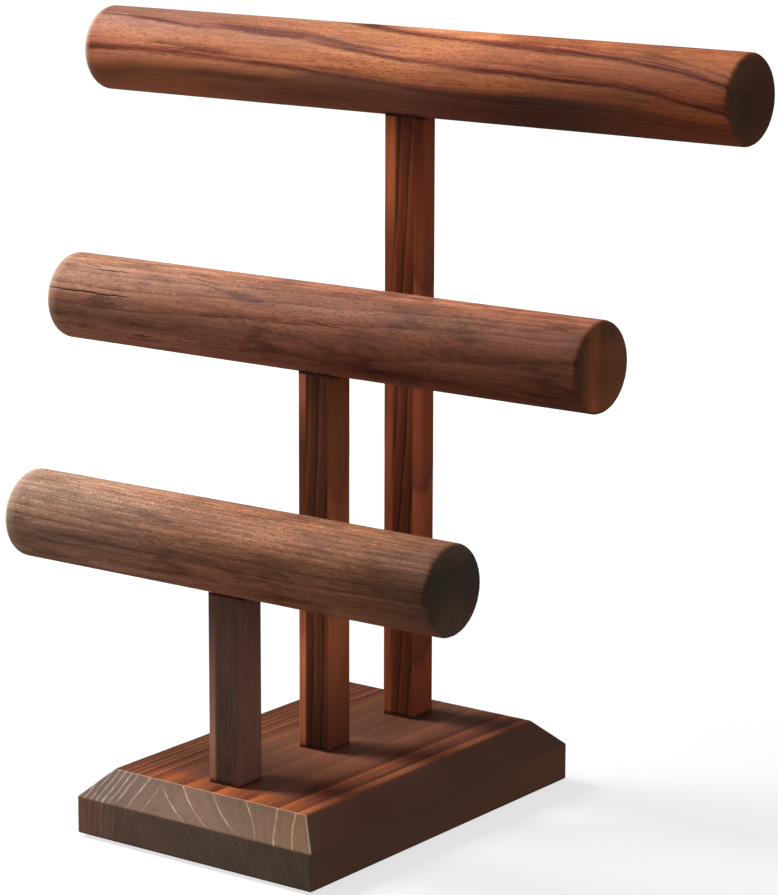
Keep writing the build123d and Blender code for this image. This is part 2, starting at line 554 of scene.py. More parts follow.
def side_grain(spot, ring, gap, palette, figure):
    """The colour of wood that was cut along its grain."""
    part = fraction(ring)
    streak = stretched(spot, 70.0, 1.4, 3.0)
    blurred = smaller(larger(part + (streak - 0.5) * figure.ragged, 0.0), 1.0)
    colour = blurred.node("ValToRGB", {"stops": [
        (0.0, palette.early), (0.12, palette.early), (0.42, palette.warm), (0.70, palette.warm),
        (0.92, palette.late)]}, {"Fac": blurred})
    along = spot[0]
    crowd = noise(ring * 5.0, along / 150.0, 3.0)
    some = span(noise(ring * 0.9, along / 60.0, 9.9), 0.40, 0.58)
    stacked = span(crowd, 0.50, 0.56) * span(part, 0.35, 0.85) * some
    colour = mixed(stacked * figure.stacked, colour, palette.line)
    broken = span(stretched(spot, 30.0, 3.0), 0.32, 0.58)
    faint = span(noise(ring - part, along / 90.0, 5.1), 0.35, 0.60) * 0.5 + 0.5
    sharp = (1.0 - span(gap, 0.14, 0.40)) * (broken * 0.6 + 0.4) * faint
    return mixed(sharp * figure.mark, colour, palette.line)


def end_grain(spot, ring, gap, palette, figure, rims):
    """The colour of wood that was cut across its grain: flecked, with pale rims on its rings."""
    along, _, up = spot
    fleck = stretched(spot, 1.0, 0.7, 3.0)
    rim = 1.0 - span(gap + (fleck - 0.5) * 0.6, 0.14, 0.70)
    rim = rim * span(noise(ring * 1.7, along / 6.0, up / 5.0), 0.30, 0.62)
    if rims:
        rim = rim * rims(spot)
    colour = mixed(rim * figure.rims, palette.end, palette.end_line)
    colour = varied(colour, fleck, 0.8)
    return varied(colour, noise(ring * 5.0, along / 9.0, 2.2), 0.12 + figure.rims * 0.37)

# %% The whole wood
GLINT = srgb(236, 184, 144)      # painted glints, where cut fibres catch the light
CRACK_SHADE = srgb(34, 17, 12)        # painted shade inside a crack


def wood(name, fibre, grain, rings, palette, figure, touch=Touch(), cracks=(), crossing=(0.35, 0.60)):
    """A solid oiled wood. fibre is the index of the axis that the grain runs along, and crossing
    tells how squarely the surface must cut the grain to turn from side to end grain."""
    material, start = new_material(name)
    spot = grain(*millimetres(start))
    along, across, up = spot
    thread = stretched(spot, 6.0, 0.5, 3.0)
    strand = stretched(spot, 45.0, 1.8, 3.0, shift=3.7)
    patch = stretched(spot, 55.0, 13.0, 1.0, shift=9.1)
    # lit: where painted glints show, and a quarter of them on a piece that gives no mask
    lit = touch.lit(spot) if touch.lit else 0.25

    ring, gap = rings(along, across, up)
    side = side_grain(spot, ring, gap + (thread - 0.5) * 0.35, palette, figure)
    side = varied(side, thread, 2.0 * figure.fibre)
    side = varied(side, strand, 1.8 * figure.fibre)
    side = varied(side, patch, 2.0 * figure.patch)
    smudge = span(stretched(spot, 26.0, 6.0, 3.0, shift=4.4), 0.50, 0.70)
    side = scaled(side, 1.0 - smudge * figure.smudge)
    open_grain = span(stretched(spot, 3.5, 0.45, 1.0, shift=17.0), 0.58, 0.68)
    pores = open_grain * span(patch, 0.36, 0.56) * figure.pores
    side = mixed(pores, side, palette.line)
    # Grit, and painted glints in the pale GLINT colour, are strongest where lit puts the light
    grit = noise(along / 0.9, across / 0.6 + 31.0, up / 0.6, 1.0)
    side = varied(side, grit, figure.grit * lit)
    glint = span(grit, 0.60, 0.72) * span(strand, 0.42, 0.58) * lit
    side = mixed(glint * (figure.grit * 0.5), side, GLINT)
    end = varied(end_grain(spot, ring, gap, palette, figure, touch.rims), patch, 0.5)

    normal = start.node("NewGeometry", output="Normal")
    facing = size(start.node("SeparateXYZ", None, {0: normal}, output="XYZ"[fibre]))
    cross_cut = span(facing + (thread - 0.5) * 0.08, *crossing)
    if touch.side:
        side = touch.side(spot, side, ring)
    if touch.end:
        end = touch.end(spot, end)
    colour = mixed(cross_cut, side, end)
    # A painted highlight on an arris, in the pale colour of the ring rims
    if touch.worn:
        colour = mixed(touch.worn(spot, facing), colour, palette.end_line)
    # Painted shade: each crack is painted dark inside
    for crack in cracks:
        opening = smaller(crack_depth(crack, along, across, up) * 1.6, 1.0)
        colour = mixed(opening, colour, CRACK_SHADE)

    bump = bumped(thread * 0.5 + strand * 0.3 + grit * 0.3 - pores * 0.8, 0.5, 0.1 * MM)
    rough = 0.60 + (thread - 0.5) * 0.2 + cross_cut * 0.14
    finish_material(start, Base_Color=colour, Roughness=rough, Normal=bump, Specular_IOR_Level=0.08)
    return material


# %% [markdown]
# ## The bars
# Each bar is turned round and sawn square, and its ends are eased with sandpaper. Its skin is a
# stack of loops along the bar, closer together round the eased ends, and the flat ends are rings
# that shrink to the middle. The dowel's blind hole is bored from below with a boolean.

# %% Turn a bar
BAR_LOOP = 400                   # points round a bar
BAR_STEP = 2.2                   # mm between loops along it
BAR_EASE = 3.0                   # mm, the rounding of its ends
END_RINGS = 14


def arc_steps(count):
    """Angles through a quarter turn."""
    return np.linspace(0.0, math.pi / 2, count)


def bar_profile(length, radius):
    """Pairs of place along the bar and radius there, from the left end to the right."""
    half = length / 2
    flat = [(-half, r) for r in np.linspace(0.4, radius - BAR_EASE, END_RINGS)]
    eased = [(-half + BAR_EASE * (1 - math.cos(a)), radius - BAR_EASE + BAR_EASE * math.sin(a))
             for a in arc_steps(11)[1:]]
    steps = round((length - 2 * BAR_EASE) / BAR_STEP)
    body = [(x, radius) for x in np.linspace(-half + BAR_EASE, half - BAR_EASE, steps)[1:-1]]
    left = flat + eased
    return left + body + [(-x, r) for x, r in reversed(left)]


def bore(piece, radius, low, high, centre):
    """Cut a round upright hole into a piece, from one height to another."""
    cut_away(piece, skin("cutter", [hoop(centre, radius, z, 48) for z in (low, high)]))


def cut_away(piece, cutter):
    """Subtract one object from another for good, and delete the cutter."""
    modifier = piece.modifiers.new("cut", "BOOLEAN")
    modifier.object = cutter
    modifier.solver = "EXACT"
    bpy.context.view_layer.update()
    cut = bpy.data.meshes.new_from_object(piece.evaluated_get(bpy.context.evaluated_depsgraph_get()))
    piece.modifiers.clear()
    piece.data = cut
    bpy.data.objects.remove(cutter)


DOWEL_REACH = 19.0               # mm that the dowel's hole runs into the bar
DOWEL_HOLE = 4.05                # its radius


def make_bar(tier):
    turns = full_turn(BAR_LOOP)
    loops = []
    for x, radius in bar_profile(tier.bar_length, tier.bar_radius):
        loops.append(np.column_stack([
            np.full(BAR_LOOP, x), tier.y + radius * np.cos(turns), tier.bar_z + radius * np.sin(turns)]))
    return skin(f"{tier.name}_bar_wood", loops)


def bar_grain(tier):
    """Along the bar, across it to the rear, and up, from the bar's own axis."""
    return lambda x, y, z: (x, y - tier.y, z - tier.bar_z)

# %% [markdown]
# ## The bars' colours
# The bars come from three planks. The rear one is orange with sharp dark rings, the middle one
# redder and the front one greyer, and each gets darker from left to right, partly in the wood and
# partly as painted shade away from the lamp on the left. Up its side a bar has painted light and
# shade too: a painted sheen on its top and painted bounce light underneath. A painted image would
# do that, but here a few tints along a bar, up its side and over its sawn end blend into each
# other, so the wood stays solid and no image is needed.

# %% The bars' colours
BAR_CROSSING = (0.30, 0.90)      # a bar turns to end grain over the whole of its rounded end
BAR_TREES = {"front": FRONT_BAR_TREE, "middle": MIDDLE_BAR_TREE, "rear": REAR_BAR_TREE}
BAR_CRACKS = {"front": [], "middle": MIDDLE_BAR_CRACKS, "rear": []}
BAR_PALETTES = {
    "rear": painted((216, 144, 98), (208, 128, 83), (176, 100, 74), (100, 40, 25),
                    (74, 50, 38), (214, 178, 150)),
    "middle": painted((168, 110, 86), (160, 100, 78), (146, 88, 68), (96, 54, 42),
                      (140, 84, 58), (222, 186, 160)),
    "front": painted((172, 120, 94), (162, 110, 84), (148, 98, 75), (92, 58, 44),
                     (80, 62, 54), (222, 190, 166)),
}
BAR_FIGURES = {
    "rear": Figure(0.75, 0.75, 0.46, 0.32, 0.95, 0.6, 0.95, 0.2, 0.008),
    "middle": Figure(0.7, 0.12, 0.58, 0.4, 0.75, 0.75, 0.2, 0.55, 0.02),
    "front": Figure(0.9, 0.3, 0.7, 0.55, 1.3, 0.65, 0.2, 0.45, 0.015),
}
# Tints at places along each bar, in mm from its middle: on its side, partly wood and partly
# painted shade, and more of them on its top, a painted sheen
BAR_TONES = {
    "rear": ((-178, 0.82, 0.7, 0.78), (0, 0.95, 0.92, 0.94), (70, 0.66, 0.54, 0.52),
             (118, 0.52, 0.43, 0.42), (178, 0.42, 0.3, 0.27)),
    "middle": ((-147, 0.85, 0.96, 0.98), (-90, 0.9, 0.98, 0.98), (0, 0.85, 0.82, 0.8),
               (95, 0.62, 0.55, 0.5), (147, 0.46, 0.4, 0.36)),
    "front": ((-117, 0.95, 1.12, 1.25), (-80, 0.95, 1.1, 1.22), (0, 0.84, 0.78, 0.72),
              (75, 0.74, 0.66, 0.58), (117, 0.52, 0.5, 0.5)),
}
TOP_SHEEN_TONES = {
    "rear": ((-178, 0.64, 1, 1.5), (0, 0.87, 0.91, 0.9), (70, 1.2, 1.1, 1.05)),
    "middle": ((-147, 1.15, 1.35, 1.35), (0, 1.1, 1.22, 1.26)),
    "front": ((-117, 1.1, 1.22, 1.26), (0, 1, 1.05, 1.05)),
}
# Painted light and shade: how light a bar is at some heights on its side, for each of some
# places along it
BAR_LIGHT_AND_SHADE = {
    "rear": ((-14, -7.4, -1.3, 3.5, 5, 9.6, 14.5), {
        -150: (1, 1, 1, 1, 1, 0.88, 1), -60: (1, 1, 1, 1, 1, 1, 1), 60: (1, 1, 1, 1, 1, 1, 1),
        150: (1.45, 1.4, 0.78, 1, 1, 1, 1)}),
    "middle": ((-9.4, -5.2, 0, 5, 14, 17.7, 19.7), {
        -95: (1.4, 0.8, 0.85, 1.12, 1.2, 1.33, 1.55), -5: (1, 1.2, 0.9, 0.9, 0.9, 0.9, 1.5),
        60: (1.05, 1.35, 0.9, 0.88, 0.85, 0.85, 1.9), 120: (1.35, 1.35, 1, 1.05, 1.15, 1.9, 2.2)}),
    "front": ((-9.4, -5.2, 0, 5, 10, 17.7, 19.7), {
        -90: (1.4, 0.95, 1, 1.2, 1, 1.15, 1.5), 0: (1.7, 1.25, 0.72, 0.72, 1, 1.2, 1.4),
        60: (1.7, 1.3, 0.66, 0.72, 1.2, 1.2, 1.45), 100: (1.6, 1.25, 0.72, 0.65, 0.9, 1.15, 1.35)}),
}

# %% Painted light and shade by height
def level_on(table, along, up):
    """How much painted light or shade a bar has here, blended between the nearest places and heights in
    a table.
    """
    heights, places = table
    columns = [ladder(up, list(zip(heights, levels))) for levels in places.values()]
    level = columns[0]
    for low, high, column in zip(places, list(places)[1:], columns[1:]):
        level = level + (column - level) * span(along, low, high)
    return level

# %% The rear bar's heart
# The rear bar's dark heart, late wood with painted shade on its underside: the ring where it
# starts, and its colour, at places along the bar
HEART_EDGE = ((-178, 3.25), (-160, 3.4), (-60, 3.3), (-36, 2.97), (20, 2.92), (70, 2.68))
SHADED_HEART = srgb(124, 78, 64)
SHADED_HEART_TONES = ((-110, 1.75, 1.57, 1.14), (-60, 1.2, 1.2, 1.06), (10, 1, 1, 1),
               (52, 0.63, 0.55, 0.54), (75, 0.38, 0.46, 0.46), (100, 0.44, 0.5, 0.5),
               (114, 0.6, 0.58, 0.5), (150, 0.9, 0.6, 0.4), (178, 1, 0.66, 0.42))
# How strongly the line round it is drawn
HEART_LINE = ((-178, 0.2), (-160, 0.5), (-120, 0.5), (-108, 0.8), (-70, 0.8), (-55, 0))
# Tints along its pale crown
CROWN_TONES = ((-30, 1, 1, 1), (20, 2, 2.7, 2.8), (110, 1.9, 2.5, 2.6), (135, 1.25, 1.7, 1.95),
               (178, 1.5, 2, 2.3))


def tone_rear_bar(spot, colour, ring):
    """The rear bar's pale crown, its calm left band, and its dark heart of late wood and painted shade
    on its underside, with a line round it.
    """
    along = spot[0]
    crown = toned(along, colour, *CROWN_TONES)
    colour = mixed(span(ring, 0.97, 0.80), colour, crown)
    calm = span(ring, 2.3, 2.5) * span(ring, 3.0, 2.95) * span(along, -15.0, -45.0)
    colour = tinted(calm, colour, (1.2, 1.35, 1.35))
    soft = span(size(ring - 1.97), 0.14, 0.02) * span(along, -20.0, -60.0)
    colour = tinted(soft, colour, (1.35, 1.35, 1.3))
    # The heart is late wood, darkened further by painted shade on the underside
    edge = ladder(along, HEART_EDGE)
    inside = span(ring - edge, -0.18, 0.12)
    fibres = stretched(spot, 9.0, 0.7, 3.0) * 0.9 + stretched(spot, 50.0, 1.0) * 0.5
    shaded_heart = scaled(toned(along, SHADED_HEART, *SHADED_HEART_TONES), fibres + 0.3)
    colour = mixed(inside * 0.85, colour, shaded_heart)
    line = span(size(ring - edge - 0.08), 0.14, 0.02) * ladder(along, HEART_LINE) * (fibres + 0.3)
    return mixed(line, colour, srgb(112, 68, 48))

# %% Tone a bar
# How far in from a bar's left end the painted highlight on its arris reaches, in mm
ARRIS_HIGHLIGHT_WIDTHS = {"rear": 4.5, "middle": 7, "front": 7.5}
# Tints on the bars' sawn ends, from front to rear and from bottom to top
END_TONES_ACROSS = {
    "rear": ((-15, 1.1, 1.25, 1.3), (-6, 1, 1, 1), (15, 1.2, 1.1, 1)),
    "middle": ((-18, 0.4, 0.54, 0.48), (-14, 0.75, 0.72, 0.68), (-9, 1.26, 1.09, 0.89),
               (-6, 1.26, 1.06, 0.88), (-1, 0.82, 0.79, 0.72), (9, 0.86, 0.97, 0.98)),
    "front": ((-15, 0.9, 1.1, 1), (3, 1.1, 1.15, 1.15), (15, 1.05, 1.15, 1.15)),
}
END_TONES_UP = {
    "rear": ((-17, 1.7, 1.6, 1.6), (-9, 1.25, 1.2, 1.2), (2, 1.1, 1.15, 1.15),
             (18, 2, 1.8, 1.8)),
    "middle": ((-16, 1.25, 1.25, 1.25), (-4, 1, 1, 1), (7, 1, 1, 1.05),
               (14, 0.75, 0.85, 0.95)),
    "front": ((-17, 1.6, 1.6, 1.45), (-9, 1.25, 1.2, 1.15), (0, 1, 1, 1), (9, 0.85, 0.95, 0.95),
              (17, 1.5, 1.4, 1.3)),
}


def tone_bar(tier):
    """How a bar's colour changes from end to end, up its side and on its sawn end."""
    half = tier.bar_length / 2

    def side(spot, colour, ring):
        along, _, up = spot
        # Darker from left to right, partly the wood and partly painted shade away from the lamp
        colour = toned(along, colour, *BAR_TONES[tier.name])
        # A painted sheen on the bar's upper side
        top_sheen = toned(along, colour, *TOP_SHEEN_TONES[tier.name])
        colour = mixed(span(up, 4.0, 19.0), colour, top_sheen)
        if tier.name == "rear":
            colour = tone_rear_bar(spot, colour, ring)
        # Painted light and shade by height up the bar's side
        colour = scaled(colour, level_on(BAR_LIGHT_AND_SHADE[tier.name], along, up))
        # Painted bounce light: the underside is lighter near its lowest line
        return toned(up, colour, (-18.5, 1.35, 1.33, 1.3), (-12.0, 1, 1, 1))

    def end(spot, colour):
        _, across, up = spot
        colour = toned(across, colour, *END_TONES_ACROSS[tier.name])
        return toned(up, colour, *END_TONES_UP[tier.name])

    # Where the painted glints show: the upper side, most at the left end, which faces the lamp
    def lit(spot):
        from_left = ladder(spot[0], ((-half, 1.0), (half * 0.5, 0.85), (half, 0.35)))
        return span(spot[2], -6.0, 14.0) * from_left

    def worn(spot, facing):
        """A painted highlight on the arris at the left end, which faces the lamp, stronger on its upper
        side.
        """
        along, _, up = spot
        near_left_end = span(-along, half - ARRIS_HIGHLIGHT_WIDTHS[tier.name], half - BAR_EASE) * span(facing, 0.98, 0.86)
        upper = 0.5 + span(up, -16.0, -2.0) * 0.5
        return near_left_end * upper * (0.40 + span(facing, 0.05, 0.45) * 0.40)

    return Touch(side, end, None, lit, worn)


def ring_formula(tree):
    return lambda along, across, up: tree_rings(tree, along, across, up)

# %% Make the bars
for tier in tiers:
    bar = make_bar(tier)
    grain, rings = bar_grain(tier), ring_formula(BAR_TREES[tier.name])
    cracks = BAR_CRACKS[tier.name]
    press_relief(bar, grain, rings, cracks)
    bottom = tier.bar_z - tier.bar_radius
    bore(bar, DOWEL_HOLE, bottom - 1, bottom + DOWEL_REACH, (0, tier.y))
    finish_piece(bar, wood(
        f"{tier.name} bar wood", 0, grain, rings, BAR_PALETTES[tier.name], BAR_FIGURES[tier.name],
        tone_bar(tier), cracks, BAR_CROSSING))
    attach(bar, "root")
    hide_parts(f"{tier.name}_bar")

# %% [markdown]
# ## The posts
# A post is a square stick with its arrises just broken. Its top is coped, which means cut to the
# curve of the bar that lies on it, and both ends are bored. All of that is one stack of loops:
# out from the screw's pilot hole to the square, up the sides, in over the cope and down the
# dowel's hole.

# %% Cut a post
POST_EASE = 0.6                  # mm, the rounding of its corners
POST_SIDE_POINTS = 36
POST_STEP = 2.5                  # mm between loops up a post
FLAT_LOOPS = 8                   # loops across its foot, and across its cope
PILOT_RADIUS = 1.45              # mm, the screw's hole
PILOT_TOP = 53.5                 # mm above the table
GLUE = 0.05                      # mm between bar and cope


def square_loop(side, ease):
    """Points round a square with eased corners."""
    half, corner = side / 2, side / 2 - ease
    loop = []
    for quarter in range(4):
        heading = quarter * math.pi / 2
        start = [(half, y) for y in np.linspace(-corner, corner, POST_SIDE_POINTS)]
        bend = [(corner + ease * math.cos(a), corner + ease * math.sin(a)) for a in arc_steps(6)[1:-1]]
        for x, y in start + bend:
            loop.append((x * math.cos(heading) - y * math.sin(heading),
                         x * math.sin(heading) + y * math.cos(heading)))
    return np.array(loop)


def make_post(tier):
    square = square_loop(tier.post_side, POST_EASE)
    angles = bearing(square[:, 1], square[:, 0])
    circle = np.stack([np.cos(angles), np.sin(angles)], axis=1)
    foot = board_high.z
    cope = tier.bar_radius + GLUE
    hole_floor = tier.bar_z - tier.bar_radius - DOWEL_REACH

    def level(plan, heights):
        return np.column_stack([plan[:, 0], plan[:, 1] + tier.y, np.broadcast_to(heights, len(plan))])

    def coped(plan):
        return tier.bar_z - np.sqrt(cope ** 2 - plan[:, 1] ** 2)

    loops = [level(circle * PILOT_RADIUS, PILOT_TOP), level(circle * PILOT_RADIUS, foot)]
    for part in np.linspace(0, 1, FLAT_LOOPS)[1:]:
        loops.append(level(circle * PILOT_RADIUS * (1 - part) + square * part, foot))
    top = coped(square)
    rows = round((top.min() - foot) / POST_STEP)
    for part in np.linspace(0, 1, rows)[1:]:
        loops.append(level(square, foot + (top - foot) * part))
    for part in np.linspace(0, 1, FLAT_LOOPS)[1:]:
        plan = square * (1 - part) + circle * DOWEL_HOLE * part
        loops.append(level(plan, coped(plan)))
    loops.append(level(circle * DOWEL_HOLE, hole_floor))
    return skin(f"{tier.name}_post_wood", loops)


def post_grain(tier):
    """Up the post, then left to right, then front to rear, from the post's own axis."""
    return lambda x, y, z: (z - tier.bar_z / 2, x, y - tier.y)

# %% [markdown]
# ## The posts' colours
# Each post shows a striped face, with one pale stripe down its left, and a plain face that was cut
# along a single ring, with a warm streak down its edge. Both are masks over the same wood, so the
# grain runs on from one to the other. Up the post the stripe and the streak get lighter and darker
# by painted light and shade, and the foot is darker, partly wood and partly painted shade.

# %% The posts' colours
POST_PALETTES = {
    "front": painted((104, 77, 65), (102, 73, 61), (112, 78, 66), (92, 62, 52),
                     (84, 58, 48), (110, 84, 70)),
    "middle": painted((118, 66, 40), (96, 52, 31), (76, 40, 26), (40, 22, 15),
                      (84, 58, 48), (110, 84, 70)),
    "rear": painted((136, 64, 36), (112, 52, 28), (84, 40, 24), (40, 20, 14),
                    (84, 58, 48), (110, 84, 70)),
}
POST_FIGURES = {
    "front": Figure(0.6, 0.1, 0.45, 0.3, 0.6, 0.2, 0.3, 0.2, 0.1),
    "middle": Figure(0.5, 0.2, 0.5, 0.28, 0.6, 0.2, 0.8, 0.1, 0.1),
    "rear": Figure(0.55, 0.25, 0.5, 0.28, 0.6, 0.2, 0.9, 0.1, 0.1),
}
# Where the pale stripe at the left of a post ends, at the foot and at the top
STRIPE_EDGES = {"front": (-4.8, -4.4), "middle": (-4.6, -4), "rear": (-4.2, -2.2)}
STRIPE_COLOURS = {"front": srgb(214, 148, 124), "middle": srgb(176, 104, 70), "rear": srgb(176, 96, 58)}
# The plain right face was cut along one ring, and has a warmer streak by its front edge,
# lighter and darker up the post by painted light and shade
FACE_COLOURS = {"front": srgb(140, 92, 78), "middle": srgb(182, 102, 68), "rear": srgb(178, 92, 66)}
# How light the stripe, the streak and the whole post are, by height from the post's middle: on
# the stripe and the streak it is painted light and shade, and the whole post's darker foot is
# partly wood and partly painted shade
STRIPE_LIGHT_AND_SHADE = {
    "front": ((-30, 1), (-18, 1.1), (0, 0.8), (40, 0.35)),
    "middle": ((-72, 3.1), (-58, 2.5), (-40, 2.3), (-25, 1.2), (40, 0.48), (60, 0.38),
               (74, 1), (86, 2.4)),
    "rear": ((-120, 1.2), (-8, 1.15), (12, 0.75), (90, 0.72), (115, 1.45), (140, 1.8)),
}
STREAK_LIGHT_AND_SHADE = {
    "front": ((0, 1),),
    "middle": ((-60, 1), (-20, 1.2), (60, 1.1), (90, 0.9)),
    "rear": ((-125, 0.95), (-30, 1.4), (14, 1.9), (95, 1.3), (117, 1), (141, 0.55)),
}
POST_LEVELS = {
    "front": ((-36, 0.75), (-16, 1), (40, 1)),
    "middle": ((-80, 0.45), (-55, 0.85), (-30, 1.3), (40, 1), (90, 1)),
    "rear": ((-135, 0.62), (-90, 0.8), (-20, 1), (110, 1), (140, 0.85)),
}


def tone_post(tier):
    """A post's pale left stripe, its plain right face, painted light and shade up its height, and its
    darker foot, partly painted shade.
    """
    face = tier.post_side / 2
    foot, top = board_high.z - tier.bar_z / 2, tier.bar_z / 2 - tier.bar_radius
    foot_edge, top_edge = STRIPE_EDGES[tier.name]

    def side(spot, colour, ring):
        along, across, up = spot
        place = across - ladder(along, ((foot, foot_edge), (top, top_edge)))
        fibres = scaled(colour, 2.3)
        stripe = mixed(0.3, STRIPE_COLOURS[tier.name], fibres)
        # Painted light and shade up the stripe
        stripe = scaled(stripe, ladder(along, STRIPE_LIGHT_AND_SHADE[tier.name]))
        colour = mixed(span(place, 0.9, -0.6) * 0.85, colour, stripe)
        # Painted light and shade up the streak by the right face's front edge
        streak = (ladder(along, STREAK_LIGHT_AND_SHADE[tier.name]) - 1.0) * span(up, 1.0, -3.0) + 1.0
        plain = scaled(mixed(0.45, FACE_COLOURS[tier.name], fibres), streak)
        colour = mixed(span(across, face - 0.7, face - 0.1) * 0.9, colour, plain)
        # Darker foot: partly the wood, partly painted shade
        return scaled(colour, ladder(along, POST_LEVELS[tier.name]))

    return Touch(side)

# %% Make the posts
for tier in tiers:
    post = make_post(tier)
    grain, rings = post_grain(tier), ring_formula(POST_TREES[tier.name])
    press_relief(post, grain, rings)
    finish_piece(post, wood(
        f"{tier.name} post wood", 2, grain, rings, POST_PALETTES[tier.name], POST_FIGURES[tier.name],
        tone_post(tier)))
    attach(post, "root")
    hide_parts(f"{tier.name}_post")

# %% [markdown]
# ## The board
# One thick plank, its grain from front to rear, bevelled at 45 degrees round the top. Its skin
# is two fine grids, top and bottom, and a band between them that follows the edge's profile.
# Every loop of the band has the grid's border points, so the parts weld together.

# %% Shape the board
BOARD_EASE = 0.8                 # mm, the rounding of its edges
EASE_STEPS = (0.0, 0.35, 0.65)   # shares of the easing at which a corner gets a grid line
TINY = 1e-9


def spread(half, count):
    """Places from -half to half, with extra ones where the corner is eased."""
    edge = [-half + BOARD_EASE * part for part in EASE_STEPS]
    middle = np.linspace(-half + BOARD_EASE, half - BOARD_EASE, count)
    return np.concatenate([edge, middle, [-value for value in reversed(edge)]]) / half


board_half = ((board_high.x - board_low.x) / 2, (board_high.y - board_low.y) / 2)
u_lines = spread(board_half[0], 200)
v_lines = spread(board_half[1], 120)


def plan_points(u, v, inset):
    """Grid places on the board's plan, its corners eased, at an inset from its edge."""
    half = np.array(board_half) - inset
    points = np.stack([u * half[0], v * half[1]], axis=1)
    centre = np.clip(points, -(half - BOARD_EASE), half - BOARD_EASE)
    out = points - centre
    reach = np.linalg.norm(out, axis=1)
    on_border = np.maximum(np.abs(u), np.abs(v)) > 1 - TINY
    corner = on_border & np.all(np.abs(out) > TINY, axis=1)
    points[corner] = centre[corner] + out[corner] / reach[corner, None] * BOARD_EASE
    return points


def board_profile():
    """Pairs of inset and height up the board's edge, from its underside to its top."""
    low, high, ease = board_low.z, board_high.z, BOARD_EASE
    tangent = ease * math.tan(math.pi / 8)
    profile = [(ease * (1 - math.sin(a)), low + ease * (1 - math.cos(a))) for a in arc_steps(5)]
    shoulder = high - BEVEL
    profile += [(0.0, z) for z in np.linspace(low + ease, shoulder - tangent, 16)[1:]]
    for a in np.linspace(0, math.pi / 4, 4)[1:]:
        profile.append((ease * (1 - math.cos(a)), shoulder - tangent + ease * math.sin(a)))
    start = profile[-1]
    end = (BEVEL + tangent - ease * math.sin(math.pi / 4), high - ease * (1 - math.cos(math.pi / 4)))
    for part in np.linspace(0, 1, 28)[1:]:
        profile.append((start[0] + (end[0] - start[0]) * part, start[1] + (end[1] - start[1]) * part))
    for a in np.linspace(math.pi / 4, 0, 4)[1:]:
        profile.append((BEVEL + tangent - ease * math.sin(a), high - ease * (1 - math.cos(a))))
    return profile

# %% Weld the board's mesh
def make_board():
    columns, rows = len(u_lines), len(v_lines)
    grid_u, grid_v = (grid.ravel() for grid in np.meshgrid(u_lines, v_lines, indexing="ij"))
    profile = board_profile()
    border = [(i, 0) for i in range(columns)] + [(columns - 1, j) for j in range(1, rows)]
    border += [(i, rows - 1) for i in range(columns - 2, -1, -1)]
    border += [(0, j) for j in range(rows - 2, 0, -1)]
    border = np.array([i * rows + j for i, j in border])
    sheets = []
    for inset, height in (profile[0], profile[-1]):
        plan = plan_points(grid_u, grid_v, inset)
        sheets.append(np.column_stack([plan, np.full(len(plan), height)]))
    points = list(sheets)
    loops = [border]
    offset = 2 * len(grid_u)
    for inset, height in profile[1:-1]:
        plan = plan_points(grid_u[border], grid_v[border], inset)
        points.append(np.column_stack([plan, np.full(len(plan), height)]))
        loops.append(np.arange(offset, offset + len(border)))
        offset += len(border)
    loops.append(border + len(grid_u))
    faces = []
    for i in range(columns - 1):
        for j in range(rows - 1):
            a, b, c, d = i * rows + j, (i + 1) * rows + j, (i + 1) * rows + j + 1, i * rows + j + 1
            faces.append((a, d, c, b))
            faces.append(tuple(k + len(grid_u) for k in (a, b, c, d)))
    for below, above in zip(loops, loops[1:]):
        for step in range(len(border)):
            after = (step + 1) % len(border)
            faces.append((int(below[step]), int(below[after]), int(above[after]), int(above[step])))
    return new_piece("base_board_wood", np.vstack(points), faces)


def board_grain(x, y, z):
    """Front to rear, left to right, and up from the top face."""
    return y, x, z - board_high.z


# %% [markdown]
# ## The board's colour and its screw holes
# The middle of the board's top is plain and pinkish, a stripe near the right edge is orange, and
# its right side is a uniform dark brown. Its front edge is orange with painted light, the upright
# face under the front bevel has painted shade, and the arris round the bevel a painted highlight.
# Those are painted over the figure by masks. From below, three countersunk holes take the screws,
# cut by turned cutters.

# %% Finish the board
BOARD_PALETTE = painted(
    (178, 102, 66), (142, 82, 58), (116, 64, 47), (66, 32, 25), (144, 116, 99), (226, 198, 174))
BOARD_FIGURE = Figure(0.6, 0.45, 0.38, 0.22, 2.2, 0.4, 0.85, 0.12, 0.85)
# Tints from front to rear, on the top's left and rear, and on the upright right side
TOP_REAR_TONES = ((-80, 0.86, 0.84, 0.86), (-45, 0.72, 0.78, 0.78), (-10, 0.68, 0.74, 0.72),
              (25, 0.5, 0.48, 0.44))
RIGHT_TONES = ((-16, 1.06, 1.18, 1.18), (65, 1.4, 1.38, 1.28))


